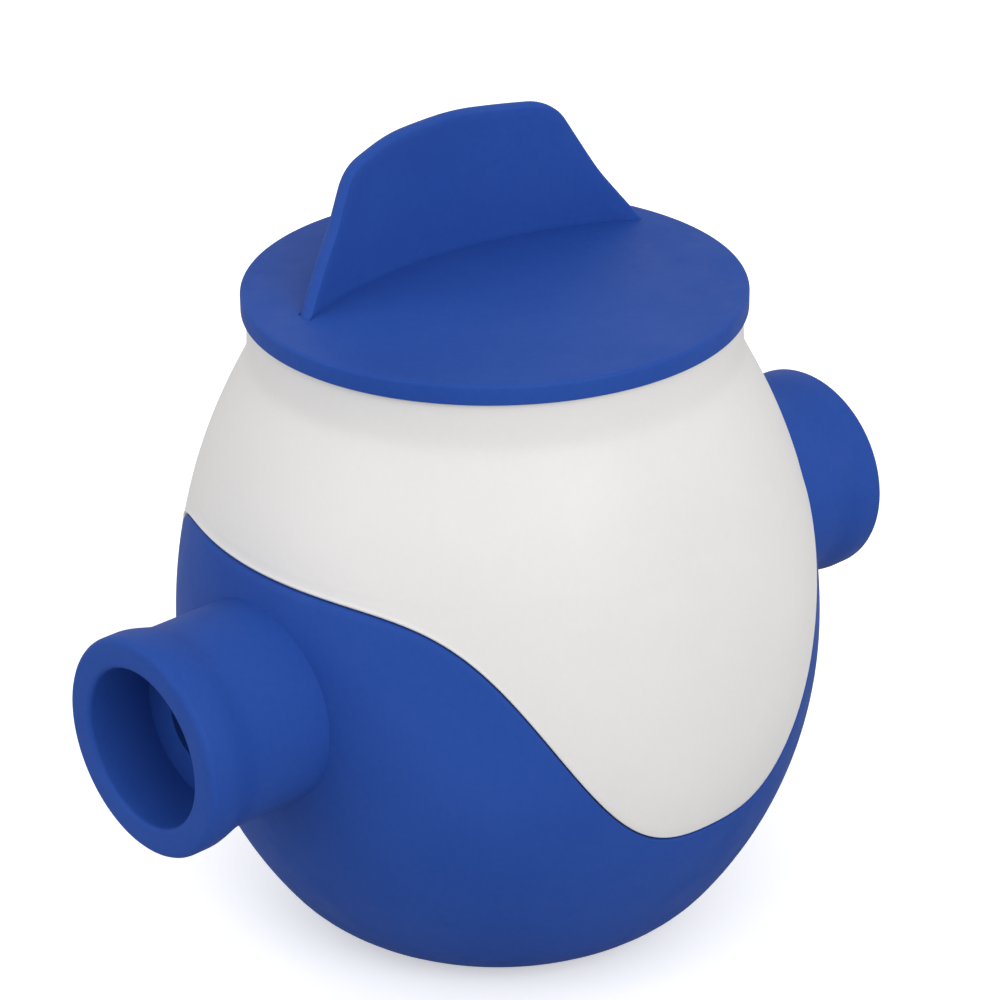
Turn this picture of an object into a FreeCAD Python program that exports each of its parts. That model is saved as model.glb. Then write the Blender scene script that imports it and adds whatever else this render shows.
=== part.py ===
"""In-line tablet dispenser: a moulded vessel with two coaxial hose tails, a screw-in lid
with an upright grip fin, a slotted tablet basket with a dose shutter under its floor,
a swing check valve in the inlet, a strainer in the outlet and a drain plug underneath.
Millimetres, +Z up, hose tails along X, origin at the centre of the base."""
import FreeCAD, Part
import math
import os
import re
import Sketcher

doc = FreeCAD.newDocument("TabletDispenser")
up = FreeCAD.Vector(0, 0, 1)
across = FreeCAD.Vector(0, 1, 0)

# ---- driving dimensions -------------------------------------------------------------
drivingSizes = [
    # vessel outline: flat base, corner arc, belly arc, shoulder arc, straight neck
    ("bellyRadius", 60), ("bellyHeight", 58), ("neckRadius", 44.6), ("neckTop", 122),
    ("neckHeight", 9.54), ("bowlRise", 22), ("wall", 3), ("neckWall", 2.1),
    ("recessRadius", 19), ("recessDepth", 4), ("baseWidth", 5),
    # wavy edge between the two housings
    ("edgeLow", 37), ("edgeClear", 5.5), ("edgeSharpness", 1.635), ("edgePower", 1.642),
    ("edgeGap", 0.2), ("tongueRise", 4), ("sealThickness", 1.6),
    # hose tails
    ("tailHeight", 61.5), ("tailRadius", 19), ("tailReach", 23.8), ("tailRoot", 6.5),
    ("tailBore", 14.75), ("tailMouthDepth", 13.3), ("pocketStep", 0.45),
    ("lipHeight", 1.4), ("lipWidth", 9), ("lipRound", 1.4),
    # lid, its seal and its quick thread
    ("lidOverhang", 1), ("lidGap", 0.2), ("lidThickness", 2.8), ("lidRound", 0.9),
    ("rimPlay", 0.35), ("rimOverlap", 0.7), ("skirtPlay", 1.9), ("skirtWall", 1.8),
    ("skirtDepth", 13.6), ("sealInset", 2.2), ("sealWidth", 1.9), ("sealDepth", 1.2),
    ("faceGap", 0.03), ("threadLead", 24), ("threadStarts", 4), ("rampReach", 1.5),
    ("rampRise", 2.4), ("rampAngle", 70), ("rampDepth", 12.5), ("lugRise", 2.4),
    ("lugAngle", 24), ("lugPlay", 0.6), ("lugReach", 1.45), ("sink", 0.4),
    # grip fin
    ("finArc", 76), ("finShift", 2.3), ("finThickness", 3.4), ("finFront", 16.8),
    ("finLeftEdge", 9.8), ("finRightEdge", 4.6), ("finHeight", 26), ("finLeftLean", 12),
    ("finRightLean", 12.5), ("finCrown", 150),
    # tablet basket and dose shutter
    ("basketPlay", 0.6), ("basketWall", 1.6), ("basketFloor", 18), ("floorThickness", 2),
    ("basketDrop", 2.6), ("slotWidth", 4), ("slotCount", 16), ("slotRaise", 8),
    ("slotTall", 30), ("slotBridge", 6), ("windowEdge", 3.5), ("windowAngle", 40),
    ("shutterInset", 4.4), ("shutterRim", 6.5), ("shutterThickness", 2), ("shutterGap", 0.4),
    ("pegRadius", 1.8), ("pegInset", 2.6), ("pegAngle", 24), ("doseTurn", 45),
    ("pegPlay", 1.5), ("pivotRadius", 3), ("pivotPlay", 0.05), ("headOverlap", 3.5),
    ("headThickness", 2), ("washerThickness", 0.8), ("clipOverlap", 2.5), ("clipThickness", 1),
    # ribs in the bowl that carry the basket
    ("ribThickness", 3), ("ribSeat", 3.2), ("ribGuidePlay", 0.5), ("ribClear", 3),
    # swing check valve in the inlet
    ("fitPlay", 0.06), ("seatLength", 8), ("hingeInset", 4), ("hingeOffset", 1.9),
    ("hingePin", 0.9), ("barrelRadius", 1.7), ("barrelHalf", 3), ("earGap", 0.2),
    ("earThickness", 2), ("earLow", 1.2), ("earHigh", 1.8), ("earDepth", 3.2),
    ("flapClear", 1.6), ("flapOverlap", 1.1), ("flapNeck", 2.6), ("flapThickness", 1.6),
    ("padInset", 0.2), ("padThickness", 1.0),
    # outlet strainer
    ("flangeOverlap", 2.8), ("flangeThickness", 1.5), ("spigotWall", 1.8),
    ("spigotLength", 9), ("barGap", 2.4), ("barPitch", 4.4), ("barCount", 5),
    # drain plug, its seal and the foot ring
    ("drainRadius", 7), ("drainPlay", 0.06), ("plugOverlap", 4), ("plugHeadLow", 0.6),
    ("plugSealThickness", 0.9), ("plugEntry", 3), ("coinSlot", 2.2), ("coinDepth", 1.4),
    ("footWidth", 3.6),
]
# sizes that follow from the ones above through a named clearance, overlap or thickness
fittedSizes = [
    ("baseRadius", "recessRadius+baseWidth"), ("bowlArc", "bellyHeight+bowlRise"),
    ("neckDrop", "bellyRadius-neckRadius"), ("shoulderRise", "neckTop-neckHeight-bellyHeight"),
    ("shoulderArc", "(shoulderRise^2+neckDrop^2)/(2*neckDrop)"),
    ("edgeHigh", "tailHeight+tailRadius+edgeClear"),
    ("tailEnd", "bellyRadius+tailReach"), ("tailInner", "bellyRadius-tailRoot"),
    ("tailPocket", "tailBore+pocketStep"), ("lipRadius", "tailRadius+lipHeight"),
    ("neckInner", "neckRadius-neckWall"), ("lidRadius", "neckRadius+lidOverhang"),
    ("lidUnderside", "neckTop+lidGap"), ("lidTop", "lidUnderside+lidThickness"),
    ("rimInner", "neckRadius+rimPlay"), ("rimLow", "neckTop-rimOverlap"),
    ("skirtRadius", "neckInner-skirtPlay"), ("skirtLow", "lidUnderside-skirtDepth"),
    ("sealInner", "neckRadius-sealInset"), ("rampInner", "neckInner-rampReach"),
    ("rampLow", "neckTop-rampDepth"), ("finLeft", "lidRadius-finLeftEdge"),
    ("finRight", "lidRadius-finRightEdge"),
    ("basketRadius", "rampInner-basketPlay"), ("basketTop", "skirtLow-basketDrop"),
    ("slotLow", "basketFloor+slotRaise"), ("slotPitch", "slotTall+slotBridge"),
    ("pivotHead", "pivotRadius+headOverlap"), ("clipRadius", "pivotRadius+clipOverlap"),
    ("shutterRadius", "basketRadius-shutterInset"), ("windowInner", "pivotHead+windowEdge"),
    ("windowOuter", "shutterRadius-shutterRim"), ("pegReach", "shutterRadius-pegInset"),
    ("ribSeatReach", "basketRadius-ribSeat"), ("ribTop", "edgeLow-ribClear"),
    ("hingeRise", "tailPocket-hingeInset"), ("flapRadius", "hingeRise-flapClear"),
    ("orifice", "flapRadius-flapOverlap"), ("padRadius", "flapRadius-padInset"),
    ("strainerFlange", "tailPocket+flangeOverlap"),
    ("plugHead", "drainRadius+plugOverlap"), ("plugReach", "recessDepth+wall+plugEntry"),
]
sheet = doc.addObject("Spreadsheet::Sheet", "Sizes")
cells = drivingSizes + [(name, "=" + formula) for name, formula in fittedSizes]
for row, (name, content) in enumerate(cells, start=1):
    sheet.set("A%d" % row, name)
    sheet.set("B%d" % row, str(content))
    sheet.setAlias("B%d" % row, name)
doc.recompute()
aliases = {name for name, content in cells}


def size(words):
    """An expression in plain aliases, rewritten to read them from the sheet."""
    return re.sub(r"[A-Za-z]\w*", lambda m: "Sizes." + m.group() if m.group() in aliases
                  else m.group(), str(words))


def value(words):
    """The number that an expression in aliases stands for."""
    result = sheet.evalExpression(size(words))
    return float(getattr(result, "Value", result))


def bind(item, **properties):
    """Bind properties to the sheet; a double underscore in a name stands for a dot."""
    for name, words in properties.items():
        item.setExpression(name.replace("__", "."), size(words))
    return item


# ---- shared ways of making a shape ----------------------------------------------------
def outline(body, plane, corners, arcs):
    """A closed sketch through the corners; arcs maps a corner's number to the radius of
    the arc that leaves it and the side of its centre (1 left, -1 right)."""
    sketch = body.newObject("Sketcher::SketchObject", body.Name + "Outline")
    face = [f for f in body.Origin.OriginFeatures if f.Role == plane][0]
    sketch.AttachmentSupport = [(face, "")]
    sketch.MapMode = "FlatFace"
    spots = [FreeCAD.Vector(value(x), value(y), 0) for x, y in corners]
    ends = []
    for i, start in enumerate(spots):
        stop = spots[(i + 1) % len(spots)]
        if i in arcs:
            radius, side = value(arcs[i][0]), arcs[i][1]
            chord = stop - start
            left = FreeCAD.Vector(-chord.y, chord.x, 0).normalize() * side
            reach = math.sqrt(max(radius ** 2 - (chord.Length / 2) ** 2, 0))
            middle = (start + stop) * 0.5 + left * (reach - radius)
            sketch.addGeometry(Part.Arc(start, middle, stop), False)
        else:
            sketch.addGeometry(Part.LineSegment(start, stop), False)
        forward = sketch.Geometry[i].StartPoint.distanceToPoint(start) < 1e-6
        ends.append((1, 2) if forward else (2, 1))
    for i, spot in enumerate(spots):
        after = (i + 1) % len(spots)
        sketch.addConstraint(
            Sketcher.Constraint("Coincident", i, ends[i][1], after, ends[after][0]))
        for k, kind in enumerate(("DistanceX", "DistanceY")):
            if str(corners[i][k]) == "0":
                sketch.addConstraint(
                    Sketcher.Constraint("PointOnObject", i, ends[i][0], k - 2))
            else:
                number = sketch.addConstraint(
                    Sketcher.Constraint(kind, -1, 1, i, ends[i][0], spot[k]))
                sketch.setExpression("Constraints[%d]" % number, size(corners[i][k]))
        if i in arcs:
            number = sketch.addConstraint(
                Sketcher.Constraint("Radius", i, value(arcs[i][0])))
            sketch.setExpression("Constraints[%d]" % number, size(arcs[i][0]))
    return sketch


def turned(name, corners, arcs=None):
    """A body turned about Z from an outline of (radius, height) corners."""
    body = doc.addObject("PartDesign::Body", name)
    sketch = outline(body, "XZ_Plane", corners, arcs or {})
    turn = body.newObject("PartDesign::Revolution", name + "Turn")
    turn.Profile = sketch
    turn.ReferenceAxis = (sketch, ["V_Axis"])
    turn.Angle = 360
    sketch.Visibility = False
    doc.recompute()
    return body


def padded(name, plane, corners, arcs, length):
    """A body padded from an outline."""
    body = doc.addObject("PartDesign::Body", name)
    sketch = outline(body, plane, corners, arcs)
    pad = body.newObject("PartDesign::Pad", name + "Pad")
    pad.Profile = sketch
    pad.setExpression("Length", size(length))
    doc.recompute()
    return body


def cylinder(name, radius, height, base=("0", "0", "0"), axis=up):
    item = doc.addObject("Part::Cylinder", name)
    item.Placement.Rotation = FreeCAD.Rotation(up, axis)
    return bind(item, Radius=radius, Height=height, Placement__Base__x=base[0],
                Placement__Base__y=base[1], Placement__Base__z=base[2])


def box(name, length, width, height, base=("0", "0", "0")):
    item = doc.addObject("Part::Box", name)
    return bind(item, Length=length, Width=width, Height=height,
                Placement__Base__x=base[0], Placement__Base__y=base[1],
                Placement__Base__z=base[2])


def cut(name, base, tool):
    item = doc.addObject("Part::Cut", name)
    item.Base, item.Tool = base, tool
    return item


def fuse(name, shapes):
    item = doc.addObject("Part::MultiFuse", name)
    item.Shapes = shapes
    return item


def common(name, shapes):
    item = doc.addObject("Part::MultiCommon", name)
    item.Shapes = shapes
    return item


def ring(name, inner, outer, low, high):
    return turned(name, [(inner, low), (outer, low), (outer, high), (inner, high)])


def feature(name, shape):
    item = doc.addObject("Part::Feature", name)
    item.Shape = shape
    return item


def helixBar(inner, outer, low, rise, angle, start):
    """A bar that climbs round Z at the thread's lead, from angle start (degrees)."""
    lead = value("threadLead")
    spine = Part.Wire(Part.makeHelix(lead, lead * angle / 360, inner))
    section = Part.makePolygon([FreeCAD.Vector(r, 0, z) for r, z in
                                ((inner, 0), (outer, 0), (outer, rise), (inner, rise), (inner, 0))])
    bar = spine.makePipeShell([section], True, True)
    bar.rotate(FreeCAD.Vector(), up, start)
    bar.translate(up * low)
    return bar


def sector(name, inner, outer, start, angle, low, rise):
    """A slab between two radii and two angles, both corners in the first quadrant."""
    def corner(radius, turn):
        return ("(%s)*cos((%s)*1deg)" % (radius, turn), "(%s)*sin((%s)*1deg)" % (radius, turn))
    stop = "%s+%s" % (start, angle)
    body = padded(name, "XY_Plane",
                  [corner(inner, start), corner(outer, start), corner(outer, stop),
                   corner(inner, stop)],
                  {1: (outer, 1), 3: (inner, -1)}, rise)
    return bind(body, Placement__Base__z=low)


def quarterSet(name, source):
    """Four copies of a slab, a quarter turn apart."""
    shapes = []
    for quarter in range(4):
        copy = doc.addObject("Part::Compound", "%s%d" % (name, quarter + 1))
        copy.Links = [source]
        copy.Placement.Rotation = FreeCAD.Rotation(up, 90 * quarter)
        shapes.append(copy)
    return fuse(name, shapes)


# ---- vessel outline and wavy edge -------------------------------------------------------
cornerArc = ("((bowlArc^2-(baseRadius-bellyRadius+bowlArc)^2-bellyHeight^2)"
             "/(2*(bowlArc-bellyHeight)))")


def vessel(name, inset):
    """The vessel's outer form shrunk by inset, as one solid up to the neck's top."""
    share = "((bowlArc-%s)/(bowlArc-%s))" % (inset, cornerArc)
    meetX = "(bellyRadius-bowlArc+(baseRadius-bellyRadius+bowlArc)*%s)" % share
    meetZ = "(bellyHeight+(%s-bellyHeight)*%s)" % (cornerArc, share)
    neck = "(neckRadius-%s)" % inset
    neckLow = ("(bellyHeight+sqrt((shoulderArc-%s)^2-(%s-bellyRadius+shoulderArc)^2))"
               % (inset, neck))
    floor = inset if inset != "0" else "0"
    return turned(name, [("0", floor), ("baseRadius", floor), (meetX, meetZ),
                         ("bellyRadius-%s" % inset, "bellyHeight"), (neck, neckLow),
                         (neck, "neckTop"), ("0", "neckTop")],
                  {1: ("%s-%s" % (cornerArc, inset), 1), 2: ("bowlArc-%s" % inset, 1),
                   3: ("shoulderArc-%s" % inset, 1)})


def edgeHeight(angle):
    """Height of the wavy edge: high over the hose tails, low between them."""
    low, high = value("edgeLow"), value("edgeHigh")
    swell = (1 + math.cos(2 * angle)) ** value("edgePower")
    return high - (high - low) * math.exp(-value("edgeSharpness") * swell)


def edgeBlock(name, shift, way):
    """Everything above (way 1) or below (way -1) the wavy edge moved up by shift."""
    pointCount = 72
    curves = []
    for radius in (value("bellyRadius") + 20, value("neckRadius") / 2):
        points = []
        for i in range(pointCount):
            angle = 2 * math.pi * i / pointCount
            points.append(FreeCAD.Vector(radius * math.cos(angle), radius * math.sin(angle),
                                         edgeHeight(angle) + shift))
        curve = Part.BSplineCurve()
        curve.interpolate(points, PeriodicFlag=True)
        curves.append(curve.toShape())
    sheetFace = Part.makeRuledSurface(curves[0], curves[1])
    return feature(name, sheetFace.extrude(up * way * 2 * value("neckTop")))


outerForm = vessel("OuterForm", "0")
middleForm = vessel("MiddleForm", "wall/2")
tongueRoomForm = vessel("TongueRoomForm", "(wall/2-edgeGap/2)")
innerForm = vessel("InnerForm", "wall")
raisedFloor = cylinder("RaisedFloor", "recessRadius+wall", "recessDepth+wall")
footRecess = cylinder("FootRecess", "recessRadius", "recessDepth")
neckBore = cylinder("NeckBore", "neckInner", "neckTop-bellyHeight+1",
                    ("0", "0", "bellyHeight"))
innerRoom = fuse("InnerRoom", [cut("InnerRoomOverFloor", innerForm, raisedFloor), neckBore])
shell = cut("Shell", outerForm, innerRoom)
doc.recompute()

tongue = value("tongueRise")
gap = value("edgeGap")
sealRise = value("sealThickness")


# ---- lower housing ------------------------------------------------------------------------
def hoseTail(name, turn):
    """One hose tail turned about its own axis, with a raised lip at its mouth; its plain end
    passes through the bowl's wall and is bonded there."""
    tail = turned(name, [
        ("tailPocket", "tailInner"), ("tailRadius", "tailInner"),
        ("tailRadius", "tailEnd-lipWidth"), ("lipRadius", "tailEnd-lipWidth+lipRadius-tailRadius"),
        ("lipRadius", "tailEnd-lipRound"), ("lipRadius-lipRound", "tailEnd"),
        ("tailBore", "tailEnd"), ("tailBore", "tailEnd-tailMouthDepth"),
        ("tailPocket", "tailEnd-tailMouthDepth")], {4: ("lipRound", 1)})
    tail.Placement.Rotation = FreeCAD.Rotation(across, turn)
    return bind(tail, Placement__Base__z="tailHeight")


def basketRibs():
    """Four ribs in the bowl, each with a seat for the basket and a guide beside it."""
    bars = [box("RibBar1", "2*bellyRadius", "ribThickness", "ribTop",
                ("-bellyRadius", "-ribThickness/2", "0")),
            box("RibBar2", "ribThickness", "2*bellyRadius", "ribTop",
                ("-ribThickness/2", "-bellyRadius", "0"))]
    cross = fuse("RibCross", bars)
    cross.Placement.Rotation = FreeCAD.Rotation(up, 45)
    clear = fuse("RibClear", [
        cylinder("RibClearLow", "ribSeatReach", "ribTop+1"),
        cylinder("RibClearHigh", "basketRadius+ribGuidePlay", "ribTop",
                 ("0", "0", "basketFloor"))])
    return cut("Ribs", common("RibsWhole", [cross, middleForm]), clear)


bowl = cut("BowlOuterCut", cut("BowlTongueCut", shell, edgeBlock("AboveTongue", tongue, 1)),
           cut("OuterSkinAbove", edgeBlock("AboveEdge", 0, 1), middleForm))
doc.recompute()
tailHoles = cylinder("TailHoles", "tailRadius+fitPlay", "2*tailEnd",
                     ("-tailEnd", "0", "tailHeight"), FreeCAD.Vector(1, 0, 0))
drainHole = cylinder("DrainHole", "drainRadius", "2*recessDepth+wall")
openBowl = cut("OpenBowl", bowl, fuse("BowlHoles", [tailHoles, drainHole, footRecess]))
lowerHousing = fuse("LowerHousing", [openBowl, basketRibs()])
lowerHousing.Label = "lower_housing"
inletTail = hoseTail("InletTail", -90)
inletTail.Label = "inlet_tail"
outletTail = hoseTail("OutletTail", 90)
outletTail.Label = "outlet_tail"
doc.recompute()

# ---- upper housing and the seal in the wavy joint ------------------------------------------
upperShell = cut("UpperShell", common("UpperBlank", [shell, edgeBlock("AboveGap", gap, 1)]),
                 common("TongueRoom", [tongueRoomForm,
                                       edgeBlock("BelowSeal", tongue + sealRise + gap, -1)]))
doc.recompute()
starts = int(value("threadStarts"))
ramps = [feature("Ramp%d" % (k + 1),
                 helixBar(value("rampInner"), value("neckInner+sink"), value("rampLow"),
                          value("rampRise"), value("rampAngle"), 360 / starts * k))
         for k in range(starts)]
upperHousing = fuse("UpperHousing", [upperShell] + ramps)
upperHousing.Label = "upper_housing"

housingSeal = common("HousingSeal", [
    cut("MiddleSkin", middleForm, innerRoom), edgeBlock("SealAbove", tongue + gap / 2, 1),
    edgeBlock("SealBelow", tongue + gap / 2 + sealRise, -1)])
housingSeal.Label = "housing_seal"
doc.recompute()

# ---- lid with its grip fin, skirt and thread lugs ------------------------------------------
sealOuter = "sealInner+sealWidth"
lidDisc = turned("LidDisc", [
    ("0", "lidTop"), ("0", "lidUnderside"), ("skirtRadius-skirtWall", "lidUnderside"),
    ("skirtRadius-skirtWall", "skirtLow"), ("skirtRadius", "skirtLow"),
    ("skirtRadius", "lidUnderside"), ("sealInner-faceGap", "lidUnderside"),
    ("sealInner-faceGap", "neckTop+sealDepth+faceGap*2"),
    (sealOuter + "+faceGap", "neckTop+sealDepth+faceGap*2"),
    (sealOuter + "+faceGap", "lidUnderside"), ("rimInner", "lidUnderside"),
    ("rimInner", "rimLow"), ("lidRadius", "rimLow"), ("lidRadius", "lidTop-lidRound"),
    ("lidRadius-lidRound", "lidTop")],
    {13: ("lidRound", 1)})
finWall = cut("FinWall",
              cylinder("FinBack", "finArc+finThickness", "finHeight*2",
                       ("-finShift", "finFront-finArc", "lidTop-sink")),
              cylinder("FinFace", "finArc", "finHeight*2",
                       ("-finShift", "finFront-finArc", "lidTop-sink")))
finWidth = "finLeft+finRight"
finShape = padded("FinShape", "XZ_Plane", [
    ("0", "0"), (finWidth, "0"), (finWidth + "-finRightLean/2", "finHeight*0.27"),
    (finWidth + "-finRightLean", "finHeight-6.5"),
    (finWidth + "-finRightLean-7.5", "finHeight-1.2"),
    ("finLeftLean+6.5", "finHeight-1.4"), ("finLeftLean", "finHeight-8")],
    {3: ("9", 1), 4: ("finCrown", 1), 5: ("7", 1)}, "lidRadius")
bind(finShape, Placement__Base__x="-finLeft", Placement__Base__y="lidRadius",
     Placement__Base__z="lidTop-sink")
doc.recompute()
fin = common("Fin", [finWall, finShape])
lugMiddle = value("rampAngle*0.62")
lugLow = value("rampLow-lugPlay-lugRise+threadLead*(rampAngle*0.62-lugAngle/2)/360")
lugs = [feature("Lug%d" % (k + 1),
                helixBar(value("skirtRadius-sink"), value("skirtRadius+lugReach"), lugLow,
                         value("lugRise"), value("lugAngle"),
                         360 / starts * k + lugMiddle - value("lugAngle") / 2))
        for k in range(starts)]
lid = fuse("Lid", [lidDisc, fin] + lugs)
lid.Label = "lid"

lidSeal = ring("LidSeal", "sealInner", sealOuter, "neckTop+faceGap",
               "neckTop+sealDepth+faceGap")
lidSeal.Label = "lid_seal"
doc.recompute()

# ---- tablet basket and dose shutter -----------------------------------------------------------
cup = turned("BasketCup", [
    ("pivotRadius+pivotPlay", "basketFloor"), ("basketRadius", "basketFloor"),
    ("basketRadius", "basketTop"), ("basketRadius-basketWall", "basketTop"),
    ("basketRadius-basketWall", "basketFloor+floorThickness"),
    ("pivotRadius+pivotPlay", "basketFloor+floorThickness")])
slotBars = []
slotCount = int(value("slotCount"))
for k in range(slotCount // 2):
    bar = box("SlotBars%d" % (k + 1), "basketRadius*2+4", "slotWidth", "slotTall",
              ("-basketRadius-2", "-slotWidth/2", "slotLow"))
    upperBar = box("SlotBarsUpper%d" % (k + 1), "basketRadius*2+4", "slotWidth", "slotTall",
                   ("-basketRadius-2", "-slotWidth/2", "slotLow+slotPitch"))
    pair = doc.addObject("Part::Compound", "SlotPair%d" % (k + 1))
    pair.Links = [bar, upperBar]
    pair.Placement.Rotation = FreeCAD.Rotation(up, 360 / slotCount * (k + 0.5))
    slotBars.append(pair)
floorWindows = quarterSet("FloorWindows", sector("FloorWindow", "windowInner", "windowOuter",
                                                 "0", "windowAngle", "basketFloor-1",
                                                 "floorThickness+2"))
pegSlot = sector("PegSlot", "pegReach-pegRadius-pegPlay/3", "pegReach+pegRadius+pegPlay/3",
                 "(pegAngle-4-pegPlay)", "(doseTurn+8+2*pegPlay)", "basketFloor-1",
                 "floorThickness+2")
doc.recompute()
basket = cut("Basket", cup, fuse("BasketOpenings", slotBars + [floorWindows, pegSlot]))
basket.Label = "tablet_basket"

shutterTop = "basketFloor-shutterGap"
shutterLow = "basketFloor-shutterGap-shutterThickness"
plate = turned("ShutterPlate", [
    ("pivotRadius+pivotPlay", shutterLow), ("shutterRadius", shutterLow),
    ("shutterRadius", shutterTop), ("pivotRadius+pivotPlay", shutterTop)])
shutterWindows = quarterSet("ShutterWindows", sector(
    "ShutterWindow", "windowInner", "windowOuter", "0", "windowAngle",
    shutterLow + "-1", "shutterThickness+2"))
peg = cylinder("Peg", "pegRadius", "shutterThickness+shutterGap+floorThickness+1.5",
               ("pegReach*cos(pegAngle*1deg)", "pegReach*sin(pegAngle*1deg)", shutterLow))
shutter = fuse("Shutter", [cut("ShutterDisc", plate, shutterWindows), peg])
shutter.Label = "dose_shutter"

washer = ring("Washer", "pivotRadius+pivotPlay", "pivotHead",
              shutterLow + "-0.1-washerThickness", shutterLow + "-0.1")
washer.Label = "shutter_washer"
headTop = shutterLow + "-0.1-washerThickness"
clipLow = "basketFloor+floorThickness"
pivot = turned("Pivot", [
    ("0", headTop + "-headThickness"), ("pivotHead", headTop + "-headThickness"),
    ("pivotHead", headTop), ("pivotRadius", headTop),
    ("pivotRadius", clipLow + "+clipThickness+1"), ("0", clipLow + "+clipThickness+1")])
pivot.Label = "shutter_pivot"
clip = ring("Clip", "pivotRadius+pivotPlay/2", "clipRadius", clipLow, clipLow + "+clipThickness")
clip.Label = "pivot_clip"
doc.recompute()

# ---- swing check valve in the inlet tail ---------------------------------------------------------
alongX = FreeCAD.Rotation(across, 90)
pocketEnd = "(-tailEnd+tailMouthDepth)"
seatFace = "(-tailEnd+tailMouthDepth+seatLength)"
hingeX = seatFace + "+hingeOffset"
hingeZ = "tailHeight+hingeRise"
seatRing = ring("SeatRing", "orifice", "tailPocket-fitPlay", "0", "seatLength")
seatRing.Placement.Rotation = alongX
bind(seatRing, Placement__Base__x=pocketEnd, Placement__Base__z="tailHeight")
ears = []
for name, side in (("EarFront", "-barrelHalf-earGap-earThickness"), ("EarBack", "barrelHalf+earGap")):
    ears.append(box(name, "earDepth+sink", "earThickness", "earLow+earHigh",
                    (seatFace + "-sink", side, hingeZ + "-earLow")))
pinHole = cylinder("EarHole", "hingePin+fitPlay/3", "4*barrelHalf",
                   (hingeX, "-2*barrelHalf", hingeZ), across)
valveSeat = cut("ValveSeat", fuse("SeatWithEars", [seatRing] + ears), pinHole)
valveSeat.Label = "valve_seat"

flapFace = seatFace + "+faceGap+padThickness"
flapDisc = cylinder("FlapDisc", "flapRadius", "flapThickness", (flapFace, "0", "tailHeight"),
                    FreeCAD.Vector(1, 0, 0))
barrel = cylinder("FlapBarrel", "barrelRadius", "2*barrelHalf", (hingeX, "-barrelHalf", hingeZ),
                  across)
barrelHole = cylinder("BarrelHole", "hingePin+fitPlay", "4*barrelHalf",
                      (hingeX, "-2*barrelHalf", hingeZ), across)
flapNeck = box("FlapNeck", "flapThickness", "2*flapNeck", "hingeRise-flapRadius/2",
               (flapFace, "-flapNeck", "tailHeight+flapRadius/2"))
flap = cut("Flap", fuse("FlapWhole", [flapDisc, barrel, flapNeck]), barrelHole)
flap.Label = "check_flap"
pad = cylinder("FlapPad", "padRadius", "padThickness", (seatFace + "+faceGap", "0", "tailHeight"),
               FreeCAD.Vector(1, 0, 0))
pad.Label = "flap_pad"
flapPin = cylinder("FlapPin", "hingePin", "2*(barrelHalf+earGap+earThickness)",
                   (hingeX, "-barrelHalf-earGap-earThickness", hingeZ), across)
flapPin.Label = "flap_pin"
doc.recompute()

# ---- strainer in the outlet tail ---------------------------------------------------------------------
strainerBlank = turned("StrainerBlank", [
    ("0", "0"), ("strainerFlange", "0"), ("strainerFlange", "flangeThickness"),
    ("tailPocket-fitPlay", "flangeThickness"),
    ("tailPocket-fitPlay", "flangeThickness+spigotLength"),
    ("tailPocket-spigotWall", "flangeThickness+spigotLength"),
    ("tailPocket-spigotWall", "flangeThickness"), ("0", "flangeThickness")])
strainerBlank.Placement.Rotation = alongX
bind(strainerBlank, Placement__Base__x="tailInner-flangeThickness",
     Placement__Base__z="tailHeight")
barGaps = []
barCount = int(value("barCount"))
for k in range(barCount):
    shift = k - (barCount - 1) / 2
    barGaps.append(box("BarGap%d" % (k + 1), "flangeThickness+2", "barGap", "tailPocket*4",
                       ("tailInner-flangeThickness-1", "barPitch*%g-barGap/2" % shift,
                        "tailHeight-tailPocket*2")))
gapRound = cylinder("GapRound", "tailPocket-spigotWall-1", "3*flangeThickness",
                    ("tailInner-2*flangeThickness", "0", "tailHeight"), FreeCAD.Vector(1, 0, 0))
strainer = cut("Strainer", strainerBlank,
               common("Gaps", [fuse("GapBars", barGaps), gapRound]))
strainer.Label = "outlet_strainer"
doc.recompute()

# ---- drain plug, its seal and the foot ring ---------------------------------------------------------
plugBlank = turned("PlugBlank", [
    ("0", "plugHeadLow"), ("plugHead", "plugHeadLow"),
    ("plugHead", "recessDepth-plugSealThickness"),
    ("drainRadius-drainPlay", "recessDepth-plugSealThickness"),
    ("drainRadius-drainPlay", "plugReach"), ("0", "plugReach")])
plug = cut("Plug", plugBlank, box("CoinSlot", "3*plugHead", "coinSlot", "coinDepth",
                                  ("-1.5*plugHead", "-coinSlot/2", "plugHeadLow")))
plug.Label = "drain_plug"
plugSeal = ring("PlugSeal", "drainRadius", "plugHead-0.5", "recessDepth-plugSealThickness",
                "recessDepth")
plugSeal.Label = "drain_seal"
footRing = ring("FootRing", "recessRadius-footWidth", "recessRadius-fitPlay", "0",
                "recessDepth-fitPlay")
footRing.Label = "foot_ring"
doc.recompute()

# ---- check and write ------------------------------------------------------------------------------------
pieces = [lowerHousing, inletTail, outletTail, upperHousing, housingSeal, lid, lidSeal,
          basket, shutter, washer, pivot, clip, valveSeat, flap, pad, flapPin, strainer, plug,
          plugSeal, footRing]
for item in doc.Objects:
    if {"Invalid", "Error"} & set(item.State):
        raise RuntimeError("%s failed: %s" % (item.Label, item.State))
os.makedirs("parts", exist_ok=True)
for piece in pieces:
    shape = piece.Shape
    if shape.isNull() or not shape.isValid() or not shape.Solids:
        raise RuntimeError("%s has no valid solid" % piece.Label)
    shape.exportStep("parts/%s.step" % piece.Label)
    span = shape.BoundBox
    print("%-16s %d solid, %9.0f mm3, x %.1f..%.1f y %.1f..%.1f z %.1f..%.1f" % (
        piece.Label, len(shape.Solids), shape.Volume, span.XMin, span.XMax, span.YMin,
        span.YMax, span.ZMin, span.ZMax))
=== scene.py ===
import math
import bmesh
import bpy
import numpy as np
from mathutils import Matrix, Vector


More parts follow.
